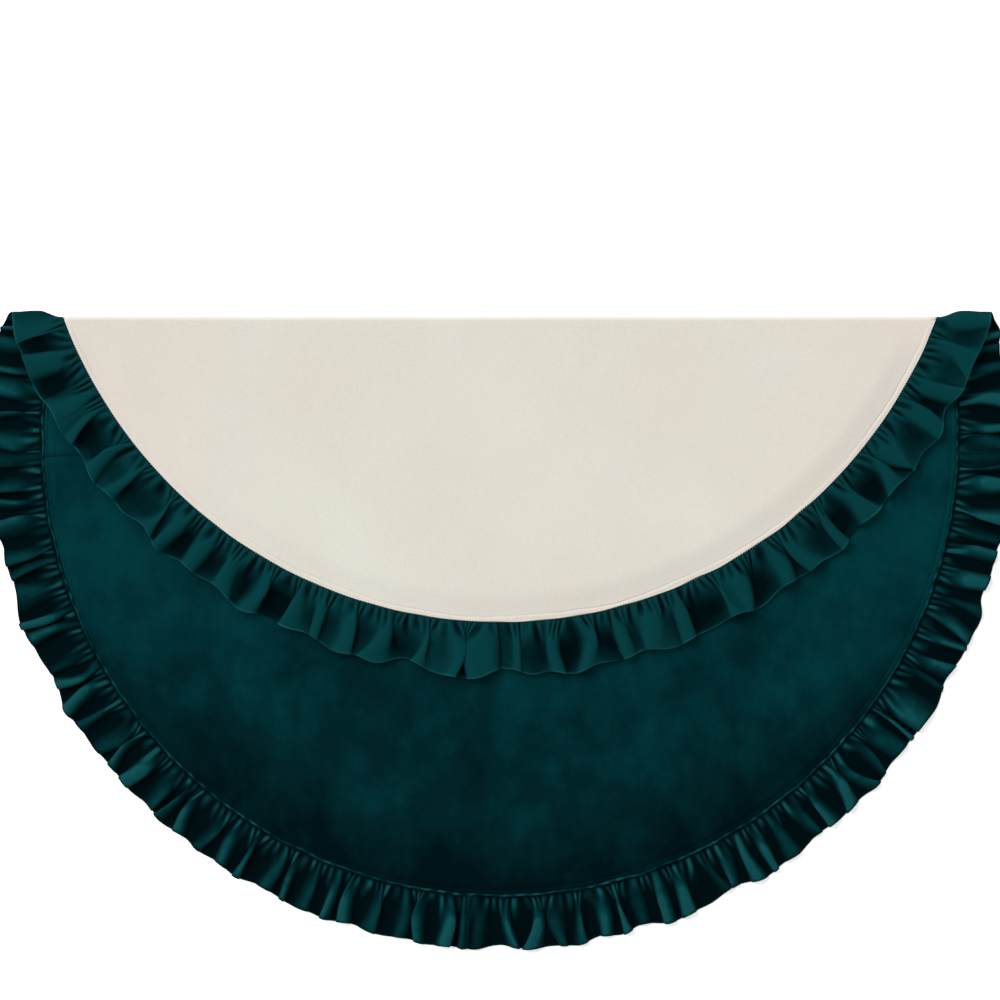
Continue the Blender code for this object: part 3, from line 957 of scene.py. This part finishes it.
# %% Stitches
def stitch_line(name, path, ways, length, radius, material):
    """Small bars of thread at the points of a path, along given directions."""
    ring = [(-0.5, 0.55), (-0.25, 1.0), (0.25, 1.0), (0.5, 0.55)]
    points, faces = [], []
    up = np.array([0.0, 0.0, 1.0])
    for place, way in zip(path, ways):
        way = way / np.linalg.norm(way)
        across = np.cross(way, up)
        base = len(points)
        for along_bar, plump in ring:
            dip = -radius * 0.9 * (abs(along_bar) > 0.3)
            for corner in range(6):
                turn = TAU * corner / 6
                off = (math.cos(turn) * across + math.sin(turn) * up) * radius * plump
                points.append(tuple(place + way * length * along_bar + off + up * dip))
        for band in range(3):
            for corner in range(6):
                following = (corner + 1) % 6
                low, high = base + band * 6, base + band * 6 + 6
                faces.append((low + corner, low + following, high + following, high + corner))
        faces.append(tuple(base + corner for corner in range(5, -1, -1)))
        faces.append(tuple(base + 18 + corner for corner in range(6)))
    mesh = bpy.data.meshes.new(name)
    mesh.from_pydata(points, [], faces)
    mesh.shade_smooth()
    print(name, len(path), "stitches")
    return add_piece(name, mesh, material)


def thread_material(name, dark, light):
    """Spun thread with slight changes of shade."""
    material, tree, shader = new_material(name)
    place = object_place(tree)
    twist = noise(tree, place, 900.0, 2.0)
    tree.links.new(ramp(tree, twist, [(0.35, dark), (0.65, light)]), shader.inputs["Base Color"])
    set_inputs(shader, {"Roughness": 0.6, "Specular IOR Level": 0.3})
    bump(tree, shader, twist, 0.4, 0.1 * MM)
    return material


pale_thread = thread_material("pale_thread", (0.36, 0.34, 0.29), (0.56, 0.53, 0.46))
teal_thread = thread_material("teal_thread", (0.002, 0.030, 0.034), (0.006, 0.070, 0.076))
OVERLOCK_STEP = 3.4 * MM
overlock = np.arange(RIGHT_MIDDLE + 30 * MM, LEFT_MIDDLE - 30 * MM, OVERLOCK_STEP)
over_x, over_y = beside_seam(overlock, 0.3 * MM)
next_x, next_y = beside_seam(overlock + 1.0 * MM, 1.0 * MM)
edge_height = flap_lining_height(over_x, over_y, 0 * overlock) - 0.35 * MM
over_points = fold_over(over_x, over_y, edge_height)
over_ways = fold_over(next_x, next_y, edge_height) - over_points
lining_stitches = stitch_line(
    "lining_overlock", over_points, over_ways, 1.7 * MM, 0.22 * MM, pale_thread
)
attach(lining_stitches, "flap")

# %% [markdown]
# The raw edge of the trunk hole is bound with a folded twill tape that grips velvet and
# lining together. Its section is a narrow U lying on its side. Swept round the hole from one
# side of the slit to the other, it is one strip, which a grid makes neatly. Twill shows as
# fine slanting ribs.


# %% Tape
def tape_material():
    """Dark twill tape with slanting ribs."""
    material, tree, shader = new_material("binding_twill")
    place = object_place(tree)
    ribs = tree.nodes.new("ShaderNodeTexWave")
    ribs.wave_type = "BANDS"
    ribs.bands_direction = "DIAGONAL"
    set_inputs(ribs, {"Scale": 420.0, "Distortion": 0.6})
    tree.links.new(place, ribs.inputs["Vector"])
    worn = noise(tree, place, 60.0, 3.0)
    colour = ramp(tree, worn, [(0.3, (0.0010, 0.018, 0.022)), (0.7, (0.0024, 0.034, 0.040))])
    light = ramp(tree, ribs.outputs["Fac"], [(0.0, (0.72, 0.72, 0.72)), (1.0, (1.0, 1.0, 1.0))])
    tree.links.new(mix(tree, 1.0, colour, light, "MULTIPLY"), shader.inputs["Base Color"])
    set_inputs(shader, {"Roughness": 0.75, "Specular IOR Level": 0.2})
    bump(tree, shader, ribs.outputs["Fac"], 0.5, 0.15 * MM)
    return material


binding_twill = tape_material()
TAPE_WIDTH = 8 * MM
TAPE_CLOTH = 0.7 * MM
tape_profile = [
    (TAPE_WIDTH, LAYER + 0.45 * MM), (TAPE_WIDTH - 0.8 * MM, LAYER + 0.75 * MM),
    (4.5 * MM, LAYER + 0.8 * MM), (1.2 * MM, LAYER + 0.75 * MM), (0.1 * MM, LAYER + 0.2 * MM),
    (-0.35 * MM, LAYER - 0.8 * MM), (-0.35 * MM, 0.9 * MM), (0.0, 0.2 * MM),
    (1.0 * MM, -0.30 * MM), (4.5 * MM, -0.35 * MM), (TAPE_WIDTH, -0.30 * MM),
]
tape_turn = np.linspace(SLIT + 0.004, SLIT + TAU - 0.004, 260)
tape_points = np.array([
    [(CENTRE[0] + (HOLE + out) * math.cos(a), CENTRE[1] + (HOLE + out) * math.sin(a),
      up + (0.08 * MM * math.sin(a * 37) if up > LAYER else 0)) for a in tape_turn]
    for out, up in tape_profile
])
tape_mesh = sheet_mesh("trunk_hole_tape", tape_points)
tape = thicken(add_piece("trunk_hole_tape", tape_mesh, binding_twill), TAPE_CLOTH)
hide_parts("trunk_hole_binding")
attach(tape, "skirt")
stitch_turn = np.arange(SLIT + 0.02, SLIT + TAU - 0.02, 3.0 * MM / HOLE)
stitch_radius = HOLE + TAPE_WIDTH - 1.6 * MM
stitch_places = np.stack([
    CENTRE[0] + stitch_radius * np.cos(stitch_turn),
    CENTRE[1] + stitch_radius * np.sin(stitch_turn),
    0 * stitch_turn + LAYER + 1.25 * MM,
], -1)
stitch_ways = np.stack([-np.sin(stitch_turn), np.cos(stitch_turn), 0 * stitch_turn], -1)
tape_stitches = stitch_line(
    "tape_stitches", stitch_places, stitch_ways, 2.1 * MM, 0.24 * MM, teal_thread
)
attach(tape_stitches, "skirt")

# %% [markdown]
# Three small velvet tabs close the slit, each with a patch of hook tape under it that grips
# a patch of loop tape on the skirt. A tab is a folded tongue with rounded corners and a line
# of stitching. It is made lying flat in its own directions, along and across the slit, and
# then turned into place on its hinge.

# %% Closing tabs
SLIT_WAY = np.array([math.cos(SLIT), math.sin(SLIT)])
ACROSS_WAY = np.array([-math.sin(SLIT), math.cos(SLIT)])
TAB_HALF = 11 * MM
TAB_LENGTH = 15 * MM
TAB_CORNER = 3.5 * MM
TAB_CLOTH = 1.1 * MM
STITCH_IN = 1.6 * MM
STITCH_STEP = 2.4 * MM
PATCH_HALF = 10 * MM
PATCH_DEPTH = 4.5 * MM
PATCH_CORNER = 1.2 * MM
PATCH_CLOTH = 0.55 * MM


def box_middle(name):
    """Middle of a solid's box, and its height."""
    low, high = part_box(name)
    return np.array([(low.x + high.x) / 2, (low.y + high.y) / 2]), (low.z + high.z) / 2


def on_tab(hinge, along_slit, across, up):
    """Points of the tab's own directions, placed at its hinge."""
    x = hinge[0] + along_slit * SLIT_WAY[0] + across * ACROSS_WAY[0]
    y = hinge[1] + along_slit * SLIT_WAY[1] + across * ACROSS_WAY[1]
    return np.stack([x, y, up + 0 * x], -1)


def rounded_half(across, near, far, half, corner):
    """Half width of a shape with rounded corners at one or both ends."""
    short = np.maximum(corner - (far - across), 0)
    if near is not None:
        short = np.maximum(short, corner - (across - near))
    return half - (corner - np.sqrt(np.maximum(corner**2 - short**2, 0)))


def tab_height(across):
    """Middle of the tab: a sewn lip, then a tongue that clears the two patches."""
    return 3.95 * MM + 1.70 * MM * ease(across, 2.4 * MM, 5.2 * MM)


def tab_grid(hinge, near, far, half, corner, height, both_ends):
    """Grid of a tongue or patch."""
    rows = near + (far - near) * (1 - np.cos(np.linspace(0, math.pi, 26))) / 2
    width = rounded_half(rows, near if both_ends else None, far, half, corner)
    columns = np.linspace(-1, 1, 23)[None, :]
    along_slit = width[:, None] * columns
    across = rows[:, None] + 0 * along_slit
    return on_tab(hinge, along_slit, across, height(across))


def patch_material(name, dark, light, scale, depth):
    """Hook or loop tape with its rough face."""
    material, tree, shader = new_material(name)
    place = object_place(tree)
    rough = tree.nodes.new("ShaderNodeTexVoronoi")
    rough.inputs["Scale"].default_value = scale
    tree.links.new(place, rough.inputs["Vector"])
    colour = ramp(tree, rough.outputs["Distance"], [(0.0, light), (0.6, dark)])
    tree.links.new(colour, shader.inputs["Base Color"])
    shader.inputs["Roughness"].default_value = 0.7
    bump(tree, shader, rough.outputs["Distance"], 0.8, depth)
    return material


hook_tape = patch_material(
    "hook_tape_face", (0.004, 0.012, 0.014), (0.020, 0.050, 0.055), 1100.0, 0.4 * MM
)
loop_tape = patch_material(
    "loop_tape_face", (0.002, 0.016, 0.019), (0.010, 0.045, 0.050), 500.0, 0.5 * MM
)


def make_patch(kind, number, material, body):
    """One patch of hook or loop tape."""
    name = f"{kind}_tape_{number}"
    middle, level = box_middle(f"{kind}_patch_{number}")
    start = middle - ACROSS_WAY * PATCH_DEPTH
    grid = tab_grid(start, 0.0, 2 * PATCH_DEPTH, PATCH_HALF, PATCH_CORNER, lambda a: level + 0 * a, True)
    patch = thicken(add_piece(name, sheet_mesh(name, grid), material), PATCH_CLOTH)
    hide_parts(f"{kind}_patch_{number}")
    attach(patch, body)


def tab_stitches(number, hinge_at):
    """Line of stitches round the free edges of a tab."""
    side_run = np.arange(5.8 * MM, TAB_LENGTH - TAB_CORNER, STITCH_STEP)
    end_run = np.arange(-TAB_HALF + TAB_CORNER, TAB_HALF - TAB_CORNER + 0.1 * MM, STITCH_STEP)
    near_side = 0 * side_run - TAB_HALF + STITCH_IN
    far_side = 0 * side_run + TAB_HALF - STITCH_IN
    alongs = np.concatenate([near_side, end_run, far_side])
    across = np.concatenate([side_run, 0 * end_run + TAB_LENGTH - STITCH_IN, side_run])
    side_ways = np.tile(ACROSS_WAY, (len(side_run), 1))
    ways = np.concatenate([side_ways, np.tile(SLIT_WAY, (len(end_run), 1)), side_ways])
    ways = np.concatenate([ways, np.zeros((len(ways), 1))], axis=1)
    places = on_tab(hinge_at, alongs, across, tab_height(across) + 0.62 * MM)
    name = f"closing_tab_{number}_stitches"
    stitches = stitch_line(name, places, ways, 1.7 * MM, 0.2 * MM, teal_thread)
    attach(stitches, f"closure_{number}")


for number in (1, 2, 3):
    name = f"closing_tab_{number}_cloth"
    hinge_at = box_middle(f"closure_tab_{number}")[0] - ACROSS_WAY * TAB_LENGTH / 2
    half, end = TAB_HALF - 0.1 * MM, TAB_LENGTH - 0.1 * MM
    mesh = sheet_mesh(name, tab_grid(hinge_at, 0.15 * MM, end, half, TAB_CORNER, tab_height, False))
    # An even value of the painted shade for the tabs.
    store(mesh, "pile_and_painted_shade", np.full(len(mesh.vertices), 0.02))
    tab = thicken(add_piece(name, mesh, panel_velvet), TAB_CLOTH)
    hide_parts(f"closure_tab_{number}")
    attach(tab, f"closure_{number}")
    tab_stitches(number, hinge_at)
    make_patch("hook", number, hook_tape, f"closure_{number}")
    make_patch("loop", number, loop_tape, "skirt")
    print("closing tab", number, "at", [round(float(v), 3) for v in hinge_at])

# %% [markdown]
# A plain pale floor, soft light from above and a little from the left, and a camera that
# looks straight down, as over a table.

# %% Floor, light and camera
VIEW_Y = FOLD_Y - 218.3 * MM
CAMERA_HEIGHT = 3.32
FLOOR_HALF = 6.0


def add_sun(name, place, softness, power, colour):
    """Even light that comes from the direction of a place; softness is its width in degrees."""
    data = bpy.data.lights.new(name, "SUN")
    data.angle = math.radians(softness)
    data.energy = power
    data.color = colour
    light = bpy.data.objects.new(name, data)
    bpy.context.scene.collection.objects.link(light)
    light.location = place
    light.rotation_euler = Vector([-v for v in place]).to_track_quat("-Z", "Y").to_euler()


floor_mesh = bpy.data.meshes.new("floor")
corners = [(-1, -1), (1, -1), (1, 1), (-1, 1)]
floor_mesh.from_pydata([(FLOOR_HALF * x, FLOOR_HALF * y, 0) for x, y in corners], [], [(0, 1, 2, 3)])
floor_paint, _, paint = new_material("pale_floor")
set_inputs(paint, {
    "Base Color": (0.95, 0.95, 0.95, 1), "Roughness": 0.9, "Emission Color": (1, 1, 1, 1),
    "Emission Strength": 0.35,
})
floor = add_piece("floor", floor_mesh, floor_paint)
floor.location.z = -0.8 * MM
world = bpy.data.worlds.new("soft_room")
world.use_nodes = True
sky = world.node_tree.nodes["Background"]
set_inputs(sky, {"Color": (1, 1, 1, 1), "Strength": 0.60})
bpy.context.scene.world = world
add_sun("key_light", (-1.6, 1.5, 2.1), 40, 2.7, (1.0, 0.99, 0.97))
add_sun("overhead_light", (0.3, -0.2, 3.0), 90, 0.25, (0.98, 0.99, 1.0))
camera_data = bpy.data.cameras.new("camera")
camera_data.lens = 100
camera_data.sensor_width = 36
camera = bpy.data.objects.new("camera", camera_data)
bpy.context.scene.collection.objects.link(camera)
camera.location = (0, VIEW_Y, CAMERA_HEIGHT)
bpy.context.scene.camera = camera
bpy.context.scene.view_settings.view_transform = "Standard"
